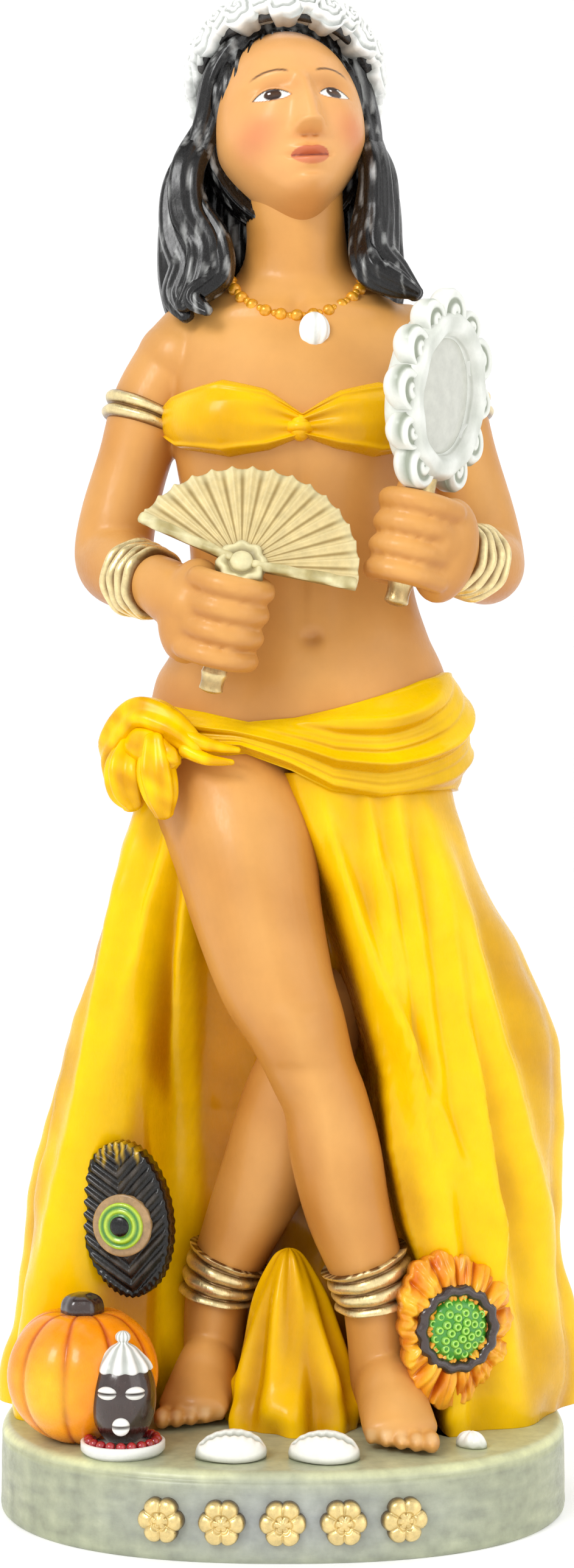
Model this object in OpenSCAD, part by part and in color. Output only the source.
// Painted cast figure of a dancer with a fan and a hand mirror, on an oval plinth.
// Origin: centre of the plinth's underside. +Z up, the figure faces -Y.

/* [Figure] */
// Height from the soles to the top of the flower crown
figure_h = 143.5; // [120:0.5:175]
// Radial play of pieces that are glued over or into one another
glue_gap = 0.05; // [0.02:0.01:0.1]

/* [Plinth] */
// Width of the plinth, left to right
plinth_w = 57; // [46:0.5:70]
// Depth of the plinth, front to back
plinth_d = 47; // [38:0.5:58]
// Height of the plinth
plinth_h = 8.5; // [6:0.1:12]
// Chamfer round the plinth's top edge
plinth_edge = 0.9; // [0.4:0.1:1.4]
// Number of gold rosettes on the plinth's front
rosette_count = 5; // [3:2:7]
// Diameter of one rosette
rosette_d = 4.4; // [3:0.1:5]

/* [Pins] */
// Diameter of the steel pins in the feet, hips and neck
pin_d = 2; // [1.5:0.1:2.4]
// Length of each pin
pin_len = 9; // [7:0.5:11]

/* [Fan] */
// Radius of the open fan, from its rivet
fan_r = 11.2; // [9:0.1:13]
// Thickness of the pleated leaf
fan_t = 0.8; // [0.6:0.1:1.2]
// Number of pleats in the leaf
pleat_count = 16; // [10:1:22]
// Diameter of the fan's handle
fan_handle_d = 2.6; // [2:0.1:3]

/* [Mirror] */
// Height of the mirror's oval frame
mirror_h = 16.4; // [13:0.1:19]
// Width of the mirror's oval frame
mirror_w = 13.2; // [10:0.1:16]
// Thickness of the mirror's frame
mirror_t = 4.2; // [3:0.1:5]
// Height of the glass
glass_h = 11.2; // [8:0.1:12]
// Width of the glass
glass_w = 8.6; // [6:0.1:9]
// Number of scrolls round the frame
scroll_count = 11; // [7:1:15]
// Diameter of the mirror's handle
mirror_handle_d = 2.6; // [2:0.1:3]

/* [Jewellery] */
// Thickness of each bangle's wire
bangle_t = 0.8; // [0.6:0.05:1]
// Diameter of a necklace bead
bead_d = 1.25; // [0.9:0.05:1.35]
// Number of necklace beads
bead_count = 13; // [9:2:13]
// Number of roses in the crown
rose_count = 13; // [9:1:16]
// Diameter of one rose
rose_d = 4.4; // [3.4:0.1:5]

/* [Offerings] */
// Diameter of the pumpkin
pumpkin_d = 15; // [12:0.5:17]
// Height of the small round head
idol_h = 9.4; // [7.5:0.1:11]
// Length of a cowrie shell
cowrie_l = 6.8; // [5:0.1:8]
// Diameter of the sunflower
sunflower_d = 17; // [14:0.5:19]
// Height of the feather
feather_h = 15.4; // [12:0.1:18]

/* [Hidden] */
$fn = 32;

// Body sizes below are for a figure of this height, and k fits them to figure_h.
nominal_h = 143.5;
k = figure_h / nominal_h;
facets = 16;          // sides of a limb
skirt_facets = 40;    // sides of the skirt
waist_z = 65.5;       // joint between torso and skirt, above the plinth
neck_z = 119.5;       // joint between torso and head

skin = "#c98a4b";
cloth = "#f2b705";
gold = "#c9a24a";
white = "#f1f1ea";
dark_hair = "#2b2a2c";

// Stations are [x, y, z, half width, half depth], with z above the plinth.
right_leg_line = [[-6.6, -0.5, 66, 8.0, 8.0], [-4.4, -5, 58.5, 7.2, 7.4], [-2.6, -7.5, 51.4, 6.5, 6.8],
    [-0.7, -9.3, 44.7, 5.7, 6.0], [1.3, -10.3, 40.2, 4.9, 5.3], [2.9, -10, 35.8, 4.3, 4.8],
    [4.2, -9.5, 32.5, 4.2, 4.7], [5.2, -8.8, 27.5, 4.5, 4.9], [6.5, -8, 21.5, 4.2, 4.5],
    [8.9, -7, 14.2, 3.5, 3.7], [9.6, -6.2, 9.5, 3.3, 3.6], [9.8, -5.4, 4.2, 3.1, 3.9]];
left_leg_line = [[3.4, 1.4, 41, 4.9, 4.9], [2.5, 0.8, 36, 4.8, 4.8], [0.6, 0.4, 31, 5.0, 4.9],
    [-1.2, 0.6, 25.5, 4.8, 4.8], [-3.8, 1.2, 19.5, 4.1, 4.2], [-6.2, 1.9, 13.5, 3.4, 3.6],
    [-7.0, 2.3, 9.5, 3.2, 3.5], [-7.2, 2.9, 4.2, 3.0, 3.8]];
right_foot_line = [[9.8, -3.4, 2.9, 2.8, 2.8], [10.2, -8, 4.2, 3.1, 3.9], [10.8, -11.4, 3.2, 3.5, 2.9],
    [11.3, -14.6, 1.9, 3.7, 1.8]];
left_foot_line = [[-7.2, 5.0, 2.9, 2.7, 2.8], [-7.6, 0.6, 4.2, 3.0, 3.9], [-8.3, -2.6, 3.1, 3.4, 2.8],
    [-8.9, -5.6, 1.9, 3.6, 1.8]];
torso_line = [[1.4, 1.0, 65.5, 15.2, 10.1], [1.7, 0.8, 69.5, 15.5, 10.1], [2.0, 0.6, 74.5, 14.8, 9.7],
    [2.0, 0.2, 78.5, 12.9, 8.8], [1.9, -0.2, 82.5, 11.6, 8.0], [1.8, -0.5, 86.5, 11.2, 7.6],
    [1.7, -0.6, 91.5, 11.6, 7.6], [1.6, -0.5, 96.5, 12.4, 8.0], [1.6, -0.3, 101.5, 13.0, 8.3],
    [1.6, 0.2, 105.5, 13.6, 7.8], [1.5, 0.8, 109.5, 13.6, 6.6], [1.4, 1.2, 112.5, 10.6, 5.6],
    [1.4, 1.3, 115, 7.0, 5.0], [1.4, 1.0, 117.2, 5.5, 4.8], [1.35, 0.6, 119.5, 5.1, 4.7]];
skirt_line = [[0.6, 3.0, 0, 28.4, 15.5], [0.9, 2.8, 4, 28.8, 15.4], [1.2, 2.6, 9, 28.0, 15.0],
    [0.6, 2.4, 16, 26.9, 14.2], [1.0, 2.2, 23, 26.8, 13.6], [2.0, 2.0, 31, 25.8, 13.0],
    [2.6, 1.8, 38, 25.0, 12.4], [2.4, 1.4, 47, 21.6, 11.8], [1.5, 1.2, 55, 18.3, 11.2],
    [1.4, 1.0, 65.5, 15.4, 10.3]];
right_arm_line = [[-10.9, 1.2, 106.5, 4.4, 4.4], [-13.4, 0.9, 102.5, 4.1, 4.2], [-15.2, 0.6, 97, 3.7, 3.8],
    [-16.8, 0.4, 91, 3.9, 4.0], [-17.2, -0.4, 87, 4.0, 4.0], [-16.0, -4.2, 85.2, 3.7, 3.8],
    [-13.8, -8.4, 84, 3.1, 3.2], [-11.6, -11.4, 83.2, 2.8, 2.9]];
left_arm_line = [[13.9, 1.2, 106.5, 4.4, 4.4], [16.4, 0.9, 102.5, 4.1, 4.2], [18.2, 0.6, 97, 3.7, 3.8],
    [19.8, 0.4, 91, 3.9, 4.0], [20.5, -0.4, 87, 4.0, 4.0], [20.2, -4.4, 85.6, 3.7, 3.8],
    [18.2, -8.6, 86, 3.1, 3.2], [16.0, -11.4, 86.5, 2.8, 2.9]];
head_line = [[1.6, -4.4, 120.2, 3.0, 2.6], [1.5, -3.4, 123, 5.2, 4.8], [1.2, -2.3, 125.5, 6.8, 6.9],
    [0.8, -1.2, 129.5, 7.8, 8.4], [0.4, -0.6, 133.5, 8.0, 8.8], [0.1, 0, 137, 7.2, 8.0],
    [0, 0.6, 139.5, 5.3, 6.0], [0, 0.8, 141, 2.6, 3.0]];
hair_line = [[0.8, 8.4, 106, 8.4, 1.6], [0.8, 8.4, 111, 9.6, 2.4], [0.6, 6.8, 115.5, 10.6, 4.6],
    [0.3, 5.2, 119.5, 11.3, 6.8], [0, 4.0, 124, 11.4, 8.2], [0, 2.6, 128.5, 10.9, 9.4],
    [0, 1.6, 133.5, 10.3, 9.9], [0, 1.2, 137.5, 9.2, 9.0], [0, 1.2, 140.5, 6.8, 6.8],
    [0, 1.2, 142, 3.6, 3.6]];
right_lock_line = [[-8.6, -3.6, 133, 1.7, 2.2], [-9.9, -3.2, 128, 2.0, 2.6], [-10.6, -3.0, 123, 2.2, 2.8],
    [-8.4, -4.8, 118.6, 1.9, 2.2], [-9.0, -6.2, 114.8, 1.7, 1.8], [-8.6, -7.0, 112.4, 1.2, 1.2]];
left_lock_line = [[8.9, -3.4, 133, 1.6, 2.2], [9.7, -3.0, 128, 1.8, 2.6], [9.4, -3.2, 122, 2.0, 2.6],
    [10.6, -4.4, 117.6, 2.0, 2.2], [12.6, -5.4, 114.2, 1.9, 1.8], [13.8, -6.2, 112.4, 1.4, 1.3]];
apron_line = [[1.4, -3.4, 0, 5.8, 5.2], [1.2, -3.2, 5, 5.4, 4.6], [0.8, -3.0, 11, 4.2, 3.6],
    [0.6, -3.2, 16.5, 2.4, 2.2]];

// ---------- shared geometry ----------
function unit(v) = v / norm(v);
function point(s) = [s[0], s[1], s[2]];

// Catmull-Rom value of a list of stations at t, which runs from 0 to the last index.
function along(list, t) =
    let (n = len(list), i = min(floor(t), n - 2), f = t - i,
        a = list[max(i - 1, 0)], b = list[i], c = list[i + 1], d = list[min(i + 2, n - 1)])
    b + 0.5 * f * ((c - a) + f * ((2 * a - 5 * b + 4 * c - d) + f * (3 * (b - c) + d - a)));

function heading(list, t) =
    unit(point(along(list, min(t + 0.1, len(list) - 1))) - point(along(list, max(t - 0.1, 0))));

// A ring of points square to direction d, grown by g; ref is any direction off the path's.
function ring(s, d, g, ref, n) =
    let (a = unit(cross(ref, d)), b = cross(d, a))
    [for (q = [0:n - 1]) point(s) + (s[3] + g) * cos(360 * q / n) * a + (s[4] + g) * sin(360 * q / n) * b];

function level_ring(s, g, n) =
    [for (q = [0:n - 1]) [s[0] + (s[3] + g) * cos(360 * q / n), s[1] + (s[4] + g) * sin(360 * q / n), s[2]]];

function steps(list, t0, t1, n) = [for (i = [0:n]) t0 + (t1 - t0) * i / n];

// Joins rings of the same number of points into one closed solid.
module loft(rings) {
    n = len(rings[0]);
    last = len(rings) - 1;
    polyhedron(
        points = [for (r = rings) each r],
        faces = concat(
            [[for (q = [0:n - 1]) q]],
            [for (i = [0:last - 1], q = [0:n - 1]) let (p = (q + 1) % n)
                each [[i * n + q, (i + 1) * n + q, i * n + p], [i * n + p, (i + 1) * n + q, (i + 1) * n + p]]],
            [[for (q = [n - 1:-1:0]) last * n + q]]),
        convexity = 6);
}

// A limb through its stations, with rounded ends where asked.
module limb(list, g = 0, ref = [0, 1, 0], n = facets, per = 1, blunt = [false, false]) {
    last = len(list) - 1;
    s0 = list[0];
    s1 = list[last];
    d0 = heading(list, 0);
    d1 = heading(list, last);
    bend = [75, 50, 25];
    head_cap = blunt[0] ? [] : [for (e = bend) ring(
        concat(point(s0) - d0 * (s0[4] + g) * sin(e), [(s0[3] + g) * cos(e), (s0[4] + g) * cos(e)]), d0, 0, ref, n)];
    tail_cap = blunt[1] ? [] : [for (e = [bend[2], bend[1], bend[0]]) ring(
        concat(point(s1) + d1 * (s1[4] + g) * sin(e), [(s1[3] + g) * cos(e), (s1[4] + g) * cos(e)]), d1, 0, ref, n)];
    loft(concat(head_cap,
        [for (t = steps(list, 0, last, last * per)) ring(along(list, t), heading(list, t), g, ref, n)],
        tail_cap));
}

// Level rings stacked upwards, for the upright masses.
module stack(list, g = 0, n = facets, per = 1) {
    last = len(list) - 1;
    loft([for (t = steps(list, 0, last, last * per)) level_ring(along(list, t), g, n)]);
}

// Ribs round a limb, each rib_w wide and rib_t thick, cut to the limb's own surface.
module bangles(list, t, count, rib_w, rib_t, ref, n = facets) {
    mm_per_step = norm(point(along(list, t + 0.1)) - point(along(list, t - 0.1))) / 0.2;
    rib = rib_w / k / mm_per_step;
    space = glue_gap / k / mm_per_step;
    difference() {
        for (j = [0:count - 1])
            let (start = t + (j - count / 2) * (rib + space))
            loft([for (e = [[0, 0.55], [0.2, 1], [0.8, 1], [1, 0.55]])
                let (u = start + e[0] * rib)
                ring(along(list, u), heading(list, u), e[1] * rib_t / k, ref, n)]);
        limb(list, glue_gap / k, ref, n);
    }
}

// Places the figure's own sizes above the plinth.
module on_plinth() translate([0, 0, plinth_h]) scale(k) children();

// A point of the figure in the part's frame.
function placed(p) = [p[0] * k, p[1] * k, p[2] * k + plinth_h];

// ---------- plinth ----------
plinth_power = 2.3;   // 2 would be an ellipse, more is squarer
plinth_sides = 60;
stud_t = 1.1;         // how far a rosette stands out
stud_seat = 0.5;      // how deep a rosette sits in the plinth
function oval(q, w, d) =
    let (c = cos(q), s = sin(q), e = 2 / plinth_power)
    [w / 2 * sign(c) * pow(abs(c), e), d / 2 * sign(s) * pow(abs(s), e)];
function oval_points(inset) =
    [for (q = [0:plinth_sides - 1]) oval(360 * q / plinth_sides, plinth_w - 2 * inset, plinth_d - 2 * inset)];
function on_top(p, z) = [p[0], p[1], z];

module plinth_blank() {
    linear_extrude(plinth_h - plinth_edge) polygon(oval_points(0));
    loft([for (e = [[0, 0], [0.4, 0.75], [1, 1]])
        [for (p = oval_points(e[0] * plinth_edge)) on_top(p, plinth_h - plinth_edge * (1 - e[1]))]]);
}

// Rosettes face out from the oval's front, evenly spread by distance across it.
rosette_pitch = rosette_d * 1.28;
module at_rosettes() {
    for (i = [0:rosette_count - 1])
        let (x = (i - (rosette_count - 1) / 2) * rosette_pitch,
            u = 2 * x / plinth_w,
            y = -plinth_d / 2 * pow(1 - pow(abs(u), plinth_power), 1 / plinth_power),
            turn = atan2(sign(u) * pow(abs(u), plinth_power - 1) / plinth_w,
                pow(abs(2 * y / plinth_d), plinth_power - 1) / plinth_d))
        translate([x, y, plinth_h * 0.46]) rotate([90, 0, turn]) children();
}
module rosette(g = 0) {
    translate([0, 0, -stud_seat - g]) cylinder(d = rosette_d * 0.62 + 2 * g, h = 2 * stud_seat + 2 * g);
    if (g == 0) {
        for (a = [0:60:300]) rotate(a) translate([rosette_d * 0.32, 0, stud_seat * 0.4]) cylinder(d = rosette_d * 0.36, h = stud_t * 0.5);
        cylinder(d = rosette_d * 0.36, h = stud_t);
    }
}

module plinth() {
    color("#a9ad96") difference() {
        plinth_blank();
        at_rosettes() rosette(glue_gap);
        foot_holes();
    }
}
module plinth_rosettes() {
    color(gold) difference() {
        at_rosettes() rosette();
        difference() {
            plinth_blank();
            at_rosettes() rosette(glue_gap);
        }
    }
}

// ---------- pins ----------
right_pin_at = placed([10, -6.2, 0]);
left_pin_at = placed([-7.3, 2.4, 0]);
hip_pin_at = placed([1.6, 1.2, waist_z]);
neck_pin_at = placed([1.4, 0.2, neck_z]);
module pin(at, g = 0) translate([at[0], at[1], at[2] - pin_len / 2 - g]) cylinder(d = pin_d + 2 * g, h = pin_len + 2 * g);
module foot_holes() {
    pin(right_pin_at, glue_gap);
    pin(left_pin_at, glue_gap);
}
module foot_pins() color("silver") { pin(right_pin_at); pin(left_pin_at); }
module hip_pin() color("silver") pin(hip_pin_at);
module neck_pin() color("silver") pin(neck_pin_at);

// ---------- legs ----------
toe_pitch = 1.45;
module toes(at, big_at_left) {
    for (i = [0:4])
        let (big = big_at_left ? i : 4 - i)
        translate(at + [(i - 2) * toe_pitch, big * 0.42, 0]) sphere(r = 0.98 - 0.09 * big);
}
module right_leg_body(g = 0) {
    limb(right_leg_line, g, blunt = [true, false]);
    limb(right_foot_line, g, ref = [0, 0, 1]);
}
module left_leg_body(g = 0) {
    limb(left_leg_line, g);
    limb(left_foot_line, g, ref = [0, 0, 1]);
}
// Nothing of the figure reaches below the plinth's top.
module under_floor() translate([-60, -60, -40]) cube([120, 120, 40]);

module right_leg() {
    color(skin) difference() {
        on_plinth() difference() {
            union() { right_leg_body(); toes([11.4, -16.6, 1.3], true); }
            under_floor();
            translate([-60, -60, waist_z]) cube(120);
        }
        foot_holes();
        pin(hip_pin_at, glue_gap);
    }
}
module left_leg() {
    color(skin) difference() {
        on_plinth() difference() {
            union() { left_leg_body(); toes([-9.2, -7.4, 1.3], false); }
            under_floor();
        }
        foot_holes();
    }
}
module right_anklets() color(gold) on_plinth() bangles(right_leg_line, 8.9, 3, 1.5, bangle_t, [0, 1, 0]);
module left_anklets() color(gold) on_plinth() bangles(left_leg_line, 5.0, 3, 1.5, bangle_t, [0, 1, 0]);

// ---------- drapery ----------
// Inside on_plinth(), gap is glue_gap in the figure's own units.
gap = glue_gap / k;

// The open front of the skirt, where the legs come through.
hollow_line = [[-9, -15, -1, 17, 12.5], [-8.6, -14.6, 9, 16.6, 12.2], [-7.2, -14.4, 20, 15.0, 12],
    [-5.2, -14.2, 32, 11.8, 11.4], [-4.4, -14.2, 44, 9.6, 9.4], [-5, -14, 54, 8.8, 7.2], [-6, -14.6, 61, 7, 5.2]];

module skirt_body(g = 0) stack(skirt_line, g, skirt_facets);
module apron_body(g = 0) stack(apron_line, g);
module anklet_room() {
    for (band = [[right_leg_line, right_anklet_t], [left_leg_line, left_anklet_t]])
        loft([for (t = [band[1] - 0.5:0.1:band[1] + 0.5])
            ring(along(band[0], t), heading(band[0], t), (bangle_t + glue_gap) / k, [0, 1, 0], facets)]);
}
module skirt() {
    color(cloth) difference() {
        on_plinth() difference() {
            skirt_body();
            stack(hollow_line, 0, 24);
            right_leg_body(gap);
            left_leg_body(gap);
            anklet_room();
            apron_body(gap);
        }
        pin(hip_pin_at, glue_gap);
        foot_holes();
        pumpkin_body(glue_gap);
        feather_body(glue_gap);
        feather_place() feather_disc(feather_h * 0.2 + glue_gap, 0, 9);
    }
}
module skirt_apron() {
    color(cloth) on_plinth() difference() {
        apron_body();
        right_leg_body(gap);
        left_leg_body(gap);
        anklet_room();
    }
}

// Level ring tipped across the hips: z rises with x.
sash_mid = [1.3, 0.8, 66.8];
sash_rise = 2.8;
function sash_ring(z, hw, hd) =
    [for (q = [0:skirt_facets - 1]) let (c = cos(360 * q / skirt_facets))
        sash_mid + [hw * c, hd * sin(360 * q / skirt_facets), z + sash_rise * c]];
module sash_body(g = 0) {
    loft([for (e = [[-5.6, 15.4, 10.4], [-4.8, 16.8, 11.4], [-2, 17.3, 12.2], [1, 17.2, 12], [4, 16.8, 11.4],
        [5.2, 15.6, 10.6]]) sash_ring(e[0] + sign(e[0]) * g, e[1] + g, e[2] + g)]);
}
knot_at = [-14.2, -7.6, 65.5];
module knot_body(g = 0) blob(knot_at, [3.4 + g, 3.0 + g, 3.6 + g]);
tail_lines = [
    [[-15.2, -9.0, 65, 1.6, 1.2], [-15.6, -9.6, 61, 2.2, 1.2], [-15.2, -9.8, 57.4, 1.7, 0.9]],
    [[-12.4, -10.4, 65, 1.5, 1.1], [-12.0, -11.8, 61.6, 1.9, 1.1], [-11.6, -13.0, 58.8, 1.4, 0.8]]];
module hips_cut() {
    torso_body(gap);
    skirt_body(gap);
    right_leg_body(gap);
}
module hip_sash() color(cloth) on_plinth() difference() { sash_body(); hips_cut(); }
module sash_knot() color(cloth) on_plinth() difference() { knot_body(); sash_body(gap); hips_cut(); }
module sash_tails() {
    color(cloth) on_plinth() difference() {
        for (line = tail_lines) limb(line, n = 12);
        knot_body(gap);
        sash_body(gap);
        hips_cut();
    }
}

// ---------- torso and bandeau ----------
// Ellipsoid of level rings.
module blob(at, r, n = 14) {
    loft([for (e = [-80:20:80])
        [for (q = [0:n - 1]) at + [r[0] * cos(e) * cos(360 * q / n), r[1] * cos(e) * sin(360 * q / n), r[2] * sin(e)]]]);
}
module torso_body(g = 0) stack(torso_line, g, 24);
module arms_cut(g) {
    limb(right_arm_line, g, blunt = [false, true]);
    limb(left_arm_line, g, blunt = [false, true]);
}
module torso() {
    color(skin) difference() {
        on_plinth() torso_body();
        pin(hip_pin_at, glue_gap);
        pin(neck_pin_at, glue_gap);
    }
}
// Front of the torso at x and height z.
function of_torso(z, i) = lookup(z, [for (s = torso_line) [s[2], s[i]]]);
function torso_front(x, z) =
    of_torso(z, 1) - of_torso(z, 4) * sqrt(max(0.05, 1 - pow((x - of_torso(z, 0)) / of_torso(z, 3), 2)));

bandeau_low = 95.4;
bandeau_high = 103.4;
cups = [[-5.7, -6.2, 100.2], [7.9, -6.2, 99.8]];
module bandeau_body(g = 0) {
    loft([for (e = [[0, 0.5], [0.12, 1.1], [0.5, 1.3], [0.88, 1.1], [1, 0.5]])
        let (z = bandeau_low + e[0] * (bandeau_high - bandeau_low))
        level_ring([of_torso(z, 0), of_torso(z, 1), z + sign(e[0] - 0.5) * g, of_torso(z, 3), of_torso(z, 4)], e[1] + g, 24)]);
    for (c = cups) blob(c, [5.3 + g, 4.6 + g, 4.6 + g]);
}
bandeau_knot_at = [1.6, -9.4, 99.2];
module bandeau() color(cloth) on_plinth() difference() { bandeau_body(); torso_body(gap); arms_cut(gap); }
module bandeau_knot() color(cloth) on_plinth() difference() { blob(bandeau_knot_at, [1.5, 1.7, 2.3]); bandeau_body(gap); }

// ---------- arms ----------
module right_arm() color(skin) on_plinth() difference() { limb(right_arm_line, blunt = [false, true]); torso_body(gap); }
module left_arm() color(skin) on_plinth() difference() { limb(left_arm_line, blunt = [false, true]); torso_body(gap); }
module arm_bangles(line, t, count, wire) {
    color(gold) on_plinth() difference() {
        bangles(line, t, count, wire, bangle_t, [0, 1, 0]);
        torso_body(gap);
        bandeau_body(gap);
    }
}
right_anklet_t = 8.9;
left_anklet_t = 5.0;
anklet_wire = 1.5;
module right_anklets() color(gold) on_plinth() bangles(right_leg_line, right_anklet_t, 3, anklet_wire, bangle_t, [0, 1, 0]);
module left_anklets() color(gold) on_plinth() bangles(left_leg_line, left_anklet_t, 3, anklet_wire, bangle_t, [0, 1, 0]);
module right_armlet() arm_bangles(right_arm_line, 1.25, 2, 1.2);
module left_armlet() arm_bangles(left_arm_line, 1.25, 2, 1.2);
module right_bracelets() arm_bangles(right_arm_line, 6.1, 4, 1.1);
module left_bracelets() arm_bangles(left_arm_line, 5.95, 4, 1.1);

// ---------- hands ----------
// A fist round the Z axis: its back faces -Y, and the fingers pass +X and curl behind.
finger_path = [[-2.4, -3.0, 0], [0.6, -3.3, 0], [2.9, -1.4, 0], [2.8, 1.3, 0], [0.5, 2.8, 0], [-1.6, 2.6, 0]];
thumb_line = [[-4.8, 1.0, 1.0, 1.5, 1.5], [-3.0, 2.6, 3.4, 1.4, 1.4], [-0.4, 2.9, 5.2, 1.2, 1.2]];
module fist() {
    for (i = [0:3])
        limb([for (p = finger_path) concat(p + [0, 0, 3.7 - 2.45 * i], [1.35, 1.3])], ref = [0, 0, 1], n = 10);
    limb(thumb_line, n = 12);
    blob([-3.4, -1.2, 0], [3.4, 2.9, 5.2], 16);
}
// The grips: where a fist is, and the way its handle points.
right_grip = [-5.4, -15.4, 79.6];
left_grip = [12.3, -14.2, 87.3];
left_handle_end = [13.9, -14.2, 92.7];
right_way = unit([2.5, -2.0, 10.7]);
left_way = unit([2.7, 0, 11.3]);
palm_turn = -35;
module along_way(at, way) translate(at) rotate([0, acos(way[2]), atan2(way[1], way[0])]) children();
module right_fist() {
    along_way(right_grip, right_way) rotate(palm_turn - atan2(right_way[1], right_way[0])) fist();
    limb([[-11.6, -11.4, 83.2, 2.8, 2.9], [-10.2, -12.9, 81.6, 3.0, 3.4]], n = 16, blunt = [true, false]);
}
module left_fist() {
    along_way(left_grip, left_way) rotate(-palm_turn - atan2(left_way[1], left_way[0])) mirror([1, 0, 0]) fist();
    limb([[16.0, -11.4, 86.5, 2.8, 2.9], [15.4, -12.4, 86.8, 3.0, 3.4]], n = 16, blunt = [true, false]);
}
module right_hand() {
    color(skin) difference() {
        on_plinth() difference() { right_fist(); arms_cut(gap); }
        fan_handle_rod(glue_gap);
        fan_room();
    }
}
module left_hand() {
    color(skin) difference() {
        on_plinth() difference() { left_fist(); arms_cut(gap); }
        mirror_handle_rod(glue_gap);
        mirror_place() scroll_rods(glue_gap);
        mirror_place() mirror_blank(glue_gap);
    }
}

// ---------- fan ----------
// The fan's own frame: rivet along Z, leaf in XY, opening upwards.
fan_pivot = placed([-3.9, -17.2, 84.6]);
fan_lean = 28;
fan_from = -13;
fan_to = 152;
fan_hub_r = fan_r * 0.24;
guard_t = 0.9;
module fan_frame() translate(fan_pivot) rotate([90 - fan_lean, 0, 0]) children();

// The space that the leaf and its rivet take out of the hand.
module fan_room() {
    half = fan_t / 2 + fan_r * 0.045 + glue_gap;
    fan_frame() {
        translate([0, 0, -half]) linear_extrude(2 * half)
            polygon(concat([[0, 0]], [for (a = [fan_from - 4:5:fan_to + 8]) fan_r * 1.05 * [cos(a), sin(a)]]));
        translate([0, 0, -half]) cylinder(r = fan_hub_r + glue_gap, h = half + 3);
    }
}
module fan_leaf() {
    fold = fan_r * 0.045;
    color("#b3a16f") fan_frame() difference() {
        union() {
            loft([for (i = [0:2 * pleat_count])
                let (a = fan_from + (fan_to - fan_from) * i / (2 * pleat_count), z = (i % 2 == 0 ? -fold : fold))
                [for (e = [[fan_hub_r * 0.6, -1, 0.1], [fan_hub_r * 0.6, 1, 0.1], [fan_r, 1, 1], [fan_r, -1, 1]])
                    [e[0] * cos(a), e[0] * sin(a), e[1] * fan_t / 2 + z * e[2]]]]);
            cylinder(r = fan_hub_r, h = fan_t, center = true);
        }
        rivet_rod(glue_gap);
        guard_bars(glue_gap);
    }
}
module guard_bars(g = 0) {
    for (a = [fan_from, fan_to])
        rotate(a) translate([0, 0, fan_t / 2 - g])
            linear_extrude(guard_t + 2 * g)
                polygon([[fan_hub_r * 0.5 - g, -0.7 - g], [fan_r + g, -1.1 - g], [fan_r + g, 1.1 + g], [fan_hub_r * 0.5 - g, 0.7 + g]]);
}
module fan_guards() color("#b3a16f") fan_frame() difference() { guard_bars(); rivet_rod(glue_gap, fan_hub_r * 0.8); }
module rivet_rod(g = 0, r = fan_hub_r * 0.3) translate([0, 0, -fan_t]) cylinder(r = r + g, h = fan_t + 3);
module fan_rivet() {
    color("#b3a16f") fan_frame() {
        translate([0, 0, -fan_t / 2]) cylinder(r = fan_hub_r * 0.3, h = fan_t * 1.2);
        translate([0, 0, fan_t / 2 + glue_gap]) cylinder(r = fan_hub_r * 0.8 - glue_gap, h = guard_t * 1.2);
    }
}
module fan_handle_rod(g = 0) {
    translate([0, 0, plinth_h]) scale(k) along_way(right_grip, right_way)
        translate([0, 0, -7.2 - g]) cylinder(d = (fan_handle_d + 2 * g) / k, h = 12 + 2 * g);
}
module fan_handle() {
    color(gold) difference() {
        fan_handle_rod();
        fan_frame() translate([-30, -30, -fan_t / 2 - fan_r * 0.045 - glue_gap]) cube(60);
    }
}

// ---------- mirror ----------
// The mirror's own frame: glass facing +Z, handle along -Y.
mirror_turn = 55;
mirror_lean = -7;
mirror_base = placed(left_handle_end) + [0, 0, 1.2];
module mirror_place() translate(mirror_base) rotate([0, 0, mirror_turn]) rotate([90 - mirror_lean, 0, 0]) children();
module ellipse(w, h) polygon([for (q = [0:39]) [w / 2 * cos(9 * q), h / 2 * sin(9 * q)]]);
mirror_mid = [0, mirror_h / 2 - 0.8, 0];
glass_t = 0.8;
module mirror_blank(g = 0) {
    translate(mirror_mid + [0, 0, -mirror_t / 2 - g]) linear_extrude(mirror_t + 2 * g) ellipse(mirror_w + 2 * g, mirror_h + 2 * g);
}
module mirror_frame() {
    color(white) difference() {
        mirror_place() difference() {
            mirror_blank();
            translate(mirror_mid + [0, 0, mirror_t / 2 - glass_t]) linear_extrude(mirror_t)
                ellipse(glass_w + 2 * glue_gap, glass_h + 2 * glue_gap);
        }
        mirror_handle_rod(glue_gap);
    }
}
module mirror_glass() {
    color("#b9bdb4") mirror_place() translate(mirror_mid + [0, 0, mirror_t / 2 - glass_t])
        linear_extrude(glass_t * 0.7) ellipse(glass_w, glass_h);
}
module scroll_rods(g = 0) {
    for (i = [0:scroll_count - 1])
        let (a = -90 + 360 * (i + 1) / (scroll_count + 1))
        translate(mirror_mid + [(mirror_w / 2) * cos(a), (mirror_h / 2) * sin(a), 0])
            cylinder(r = mirror_w * 0.14 + g, h = mirror_t * 0.8 + 2 * g, center = true, $fn = 20);
}
module mirror_scrolls() {
    color(white) mirror_place() difference() {
        scroll_rods();
        translate([0, 0, -mirror_t]) translate(mirror_mid) linear_extrude(2 * mirror_t)
            ellipse(mirror_w + 2 * glue_gap, mirror_h + 2 * glue_gap);
    }
}
module mirror_handle_rod(g = 0) {
    translate([0, 0, plinth_h]) scale(k) along_way(left_grip, left_way)
        translate([0, 0, -6.4 - g]) cylinder(d = (mirror_handle_d + 2 * g) / k, h = 14.4 + 2 * g);
}
module mirror_handle() color(gold) mirror_handle_rod();

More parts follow.
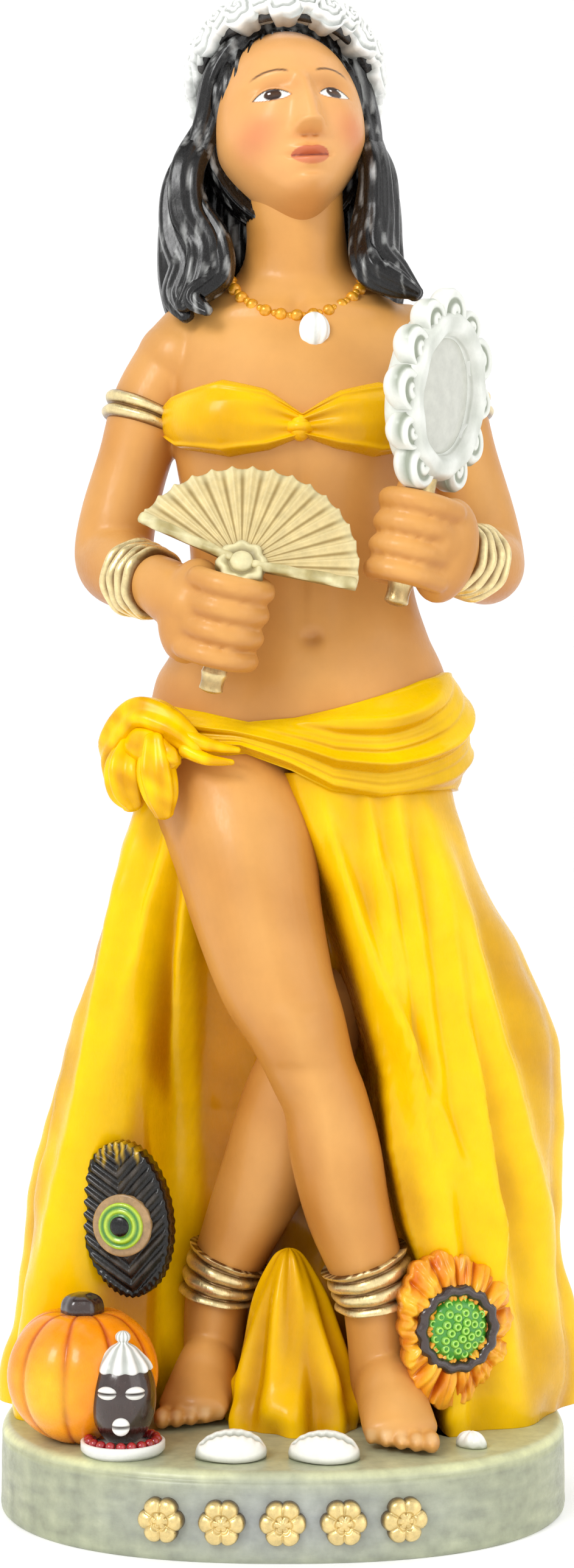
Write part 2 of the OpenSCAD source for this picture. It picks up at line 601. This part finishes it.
// ---------- head, hair and crown ----------
module head_body(g = 0) {
    stack(head_line, g, 20);
    blob([0.9, -9.2, 129.2], [1.2 + g, 1.6 + g, 1.9 + g], 10);
    limb([[1.4, 0.6, 119.5, 5.1, 4.7], [1.2, -0.4, 124.5, 5.0, 5.0]], g, n = 20, blunt = [true, false]);
}
module head() {
    color(skin) difference() {
        on_plinth() difference() {
            head_body();
            translate([-30, -30, neck_z - 20]) cube([60, 60, 20]);
        }
        pin(neck_pin_at, glue_gap);
    }
}
module hair_body(g = 0) stack(hair_line, g, 24);
module hair() {
    color(dark_hair) difference() {
        on_plinth() difference() {
            hair_body();
            head_body(gap);
            torso_body(gap);
            arms_cut(gap);
        }
        pin(neck_pin_at, glue_gap);
    }
}
module hair_lock(line) {
    color(dark_hair) on_plinth() difference() {
        limb(line, n = 12);
        hair_body(gap);
        head_body(gap);
        torso_body(gap);
        arms_cut(gap);
    }
}
module right_hair_lock() hair_lock(right_lock_line);
module left_hair_lock() hair_lock(left_lock_line);

// The crown's band is a slice of the hair's shape, tipped down to the back; the roses stand round it.
crown_mid = [0.2, 3.0, 136.1];
crown_r = 10.45;
crown_tip = 33;
band_w = 2.6;
band_t = 0.9;
rose_root = 1.6;
module crown_frame() translate(crown_mid) rotate([-crown_tip, 0, 0]) children();
module crown_band() {
    color(dark_hair) on_plinth() difference() {
        intersection() {
            hair_body(band_t);
            crown_frame() translate([-30, -30, -band_w / 2]) cube([60, 60, band_w]);
        }
        hair_body(gap);
        head_body(gap);
    }
}
// A rose: open outer petals with the tighter bloom inside them.
rose_outline = [[0.44, 0], [0.5, 0.26], [0.46, 0.38], [0.3, 0.42], [0.26, 0.54]];
module rose() {
    d = rose_d / k;
    loft([for (e = concat([[rose_outline[0][0], -rose_root / d]], rose_outline))
        level_ring([0, 0, e[1] * d, e[0] * d, e[0] * d], 0, 9)]);
}
module crown_roses() {
    color(white) on_plinth() difference() {
        crown_frame()
            for (i = [0:rose_count - 1])
                rotate(-90 + 360 * i / rose_count) translate([crown_r, 0, 0]) rotate([0, 90, 0]) rose();
        hair_body(band_t + gap);
        head_body(band_t + gap);
    }
}

// ---------- jewellery on the chest ----------
necklace_mid = [1.4, 115.4];
necklace_w = 6.7;
necklace_drop = 4.8;
pendant_at = [3.1, 109];
module bead_at(a) {
    x = necklace_mid[0] + necklace_w * sin(a);
    z = necklace_mid[1] - necklace_drop * cos(a);
    translate([x, torso_front(x, z) - bead_d / k * 0.3, z]) children();
}
module necklace_beads() {
    color(gold) on_plinth() difference() {
        for (i = [0:bead_count - 1])
            bead_at(-84 + 168 * i / (bead_count - 1)) sphere(d = bead_d / k, $fn = 16);
        torso_body(gap);
        head_body(gap);
    }
}
module pendant_shell() {
    color(white) on_plinth() difference() {
        blob([pendant_at[0], torso_front(pendant_at[0], pendant_at[1]) - 0.7, pendant_at[1]], [1.5, 1.1, 1.85]);
        torso_body(gap);
        for (i = [0:bead_count - 1])
            bead_at(-84 + 168 * i / (bead_count - 1)) sphere(d = bead_d / k + 2 * gap, $fn = 16);
    }
}

// ---------- offerings on the plinth ----------
module on_floor(at) translate([at[0] * k, at[1] * k, plinth_h]) children();
pumpkin_at = [-19.6, -10.6];
pumpkin_ribs = 9;
module pumpkin_body(g = 0) {
    r = pumpkin_d / 2 + g;
    on_floor(pumpkin_at) difference() {
        translate([0, 0, r * 0.86])
            loft([for (e = [-75:15:75]) [for (q = [0:35]) let (lobe = 1 - 0.05 * cos(pumpkin_ribs * 10 * q) * cos(e))
                [r * lobe * cos(e) * cos(10 * q), r * lobe * cos(e) * sin(10 * q), 0.92 * r * sin(e)]]]);
        translate([-20, -20, -40]) cube([40, 40, 40]);
    }
}
// A hollow in its side takes the small head that stands against it.
module pumpkin() {
    color("#dd6f14") difference() {
        pumpkin_body();
        stem_body(glue_gap);
        idol_egg(glue_gap);
        cap_body(glue_gap);
    }
}
module stem_body(g = 0) {
    on_floor(pumpkin_at) translate([0, 0, pumpkin_d * 0.86]) {
        sphere(d = pumpkin_d * 0.26 + 2 * g);
        translate([0, 0, -pumpkin_d * 0.08 - g]) cylinder(d = pumpkin_d * 0.16 + 2 * g, h = pumpkin_d * 0.1);
    }
}
module pumpkin_stem() color("#3a2a1e") stem_body();

// The small head stands in its dish; all of it is turned on one upright axis.
idol_at = [-15.3, -15.9];
dish_t = 1.2;
dish_r = idol_h * 0.43;
module turned(points) rotate_extrude() polygon(points);
function egg(r, h, g) = [for (a = [-60:15:90]) [(r + g) * cos(a), h / 2 + (h / 2 + g) * sin(a)]];
module idol_egg(g = 0) {
    on_floor(idol_at) translate([0, 0, dish_t * 0.5])
        turned(concat([[0, -g]], egg(idol_h * 0.34, idol_h, g)));
}
module idol_head() color("#2b1a17") difference() { idol_egg(); face_shells(glue_gap); }
module cap_body(g = 0) {
    on_floor(idol_at) translate([0, 0, dish_t * 0.5]) {
        translate([0, 0, idol_h * 0.74 - g]) cylinder(r1 = idol_h * 0.3 + g, r2 = idol_h * 0.12 + g, h = idol_h * 0.36 + 2 * g);
        translate([0, 0, idol_h * 1.14]) sphere(d = idol_h * 0.15 + 2 * g);
    }
}
module idol_cap() color(white) difference() { cap_body(); idol_egg(glue_gap); }
module face_shells(g = 0) {
    on_floor(idol_at) translate([0, 0, dish_t * 0.5])
        for (f = [[-28, 0.58], [28, 0.58], [0, 0.26]])
            rotate(f[0]) translate([0, -idol_h * 0.31, idol_h * f[1]]) rotate([90, 0, 0])
                translate([0, 0, -idol_h * 0.06 - g]) cylinder(d = idol_h * 0.2 + 2 * g, h = idol_h * 0.13 + 2 * g);
}
module idol_face_shells() color(white) face_shells();
module idol_dish() {
    color(white) difference() {
        on_floor(idol_at) cylinder(r = dish_r, h = dish_t);
        on_floor(idol_at) translate([0, 0, dish_t * 0.5]) cylinder(r = dish_r - 0.5, h = dish_t);
        pumpkin_body(glue_gap);
    }
}
module idol_beads() {
    color("#a5161c") difference() {
        on_floor(idol_at) translate([0, 0, dish_t * 0.5]) difference() {
            cylinder(r = dish_r - 0.5 - glue_gap, h = dish_t * 0.8);
            translate([0, 0, dish_t * 0.4]) cylinder(r = dish_r - 1.1, h = dish_t);
        }
        idol_egg(glue_gap);
        pumpkin_body(glue_gap);
    }
}
module shell_body(at, turn, l) {
    on_floor(at) rotate(turn) difference() {
        translate([0, 0, l * 0.12]) blob([0, 0, 0], [l / 2, l * 0.36, l * 0.3], 18);
        translate([-20, -20, -40]) cube([40, 40, 40]);
    }
}
module cowrie_shells() {
    color(white) {
        shell_body([-4.9, -18.2], 6, cowrie_l);
        shell_body([3.9, -18.6], -6, cowrie_l);
    }
}
module small_shell() color(white) difference() { shell_body([18.2, -13.8], -40, cowrie_l * 0.5); on_plinth() skirt_body(gap); }

// The sunflower lies on the skirt's front, facing out along its surface.
sunflower_at = [16.6, -10.2, 10.8];
sunflower_turn = 20;
petal_count = 14;
seeds_r = sunflower_d * 0.18;
module sunflower_place() translate(placed(sunflower_at)) rotate([90, 0, sunflower_turn]) children();
module sunflower_petals() {
    color("#e08a1c") difference() {
        sunflower_place() translate([0, 0, -2]) difference() {
            linear_extrude(4)
                polygon([for (q = [0:petal_count * 6 - 1]) let (a = 360 * q / (petal_count * 6))
                    sunflower_d / 2 * (0.9 + 0.1 * cos(petal_count * a)) * [cos(a), sin(a)]]);
            translate([0, 0, 2]) cylinder(r = seeds_r * 1.42 + glue_gap, h = 4);
        }
        on_plinth() { skirt_body(gap); right_leg_body(gap); anklet_room(); }
        under_plinth_top();
    }
}
module under_plinth_top() translate([-60, -60, plinth_h - 40]) cube([120, 120, 40]);
module sunflower_sepals() {
    color("#2a1a10") difference() {
        sunflower_place() difference() {
            cylinder(r = seeds_r * 1.42, h = 1.5);
            translate([0, 0, 0.5]) cylinder(r = seeds_r + glue_gap, h = 3);
        }
        on_plinth() skirt_body(gap);
    }
}
module sunflower_seeds() {
    color("#4f8f2a") sunflower_place() translate([0, 0, 0.5])
        turned([[0, 0], [seeds_r, 0], [seeds_r, 1.2], [seeds_r * 0.8, 1.9], [seeds_r * 0.4, 2.3], [0, 2.4]]);
}

// The feather is let into the skirt's hollow front.
feather_at = [-15.6, -5.2, 20.5];
feather_turn = [90, -8, -18];
feather_t = 2.6;
module feather_place() translate(placed(feather_at)) rotate(feather_turn) children();
module feather_body(g = 0) {
    feather_place() translate([0, 0, -feather_t / 2 - g]) linear_extrude(feather_t + 2 * g)
        ellipse(feather_h * 0.6 + 2 * g, feather_h + 2 * g);
}
module feather_disc(r, low, high) translate([0, -feather_h * 0.03, low]) cylinder(r = r, h = high - low);
module feather() color("#161412") difference() { feather_body(); feather_place() feather_disc(feather_h * 0.2 + glue_gap, 0.5, 9); }
module feather_eye() {
    color("#8a6a3c") feather_place() difference() {
        feather_disc(feather_h * 0.2, 0.5, 1.7);
        feather_disc(feather_h * 0.15 + glue_gap, 1.1, 9);
    }
}
module feather_iris() {
    color("#6fae2e") feather_place() difference() {
        feather_disc(feather_h * 0.15, 1.1, 2.1);
        feather_disc(feather_h * 0.065 + glue_gap, 1.6, 9);
    }
}
module feather_pupil() color("#0d0d0d") feather_place() feather_disc(feather_h * 0.065, 1.6, 2.4);

plinth();
plinth_rosettes();
foot_pins();
hip_pin();
neck_pin();
skirt();
skirt_apron();
hip_sash();
sash_knot();
sash_tails();
right_leg();
left_leg();
right_anklets();
left_anklets();
torso();
bandeau();
bandeau_knot();
right_arm();
left_arm();
right_hand();
left_hand();
right_armlet();
left_armlet();
right_bracelets();
left_bracelets();
necklace_beads();
pendant_shell();
head();
hair();
right_hair_lock();
left_hair_lock();
crown_band();
crown_roses();
fan_leaf();
fan_guards();
fan_rivet();
fan_handle();
mirror_frame();
mirror_scrolls();
mirror_glass();
mirror_handle();
pumpkin();
pumpkin_stem();
idol_head();
idol_cap();
idol_face_shells();
idol_beads();
idol_dish();
cowrie_shells();
small_shell();
sunflower_petals();
sunflower_sepals();
sunflower_seeds();
feather();
feather_eye();
feather_iris();
feather_pupil();
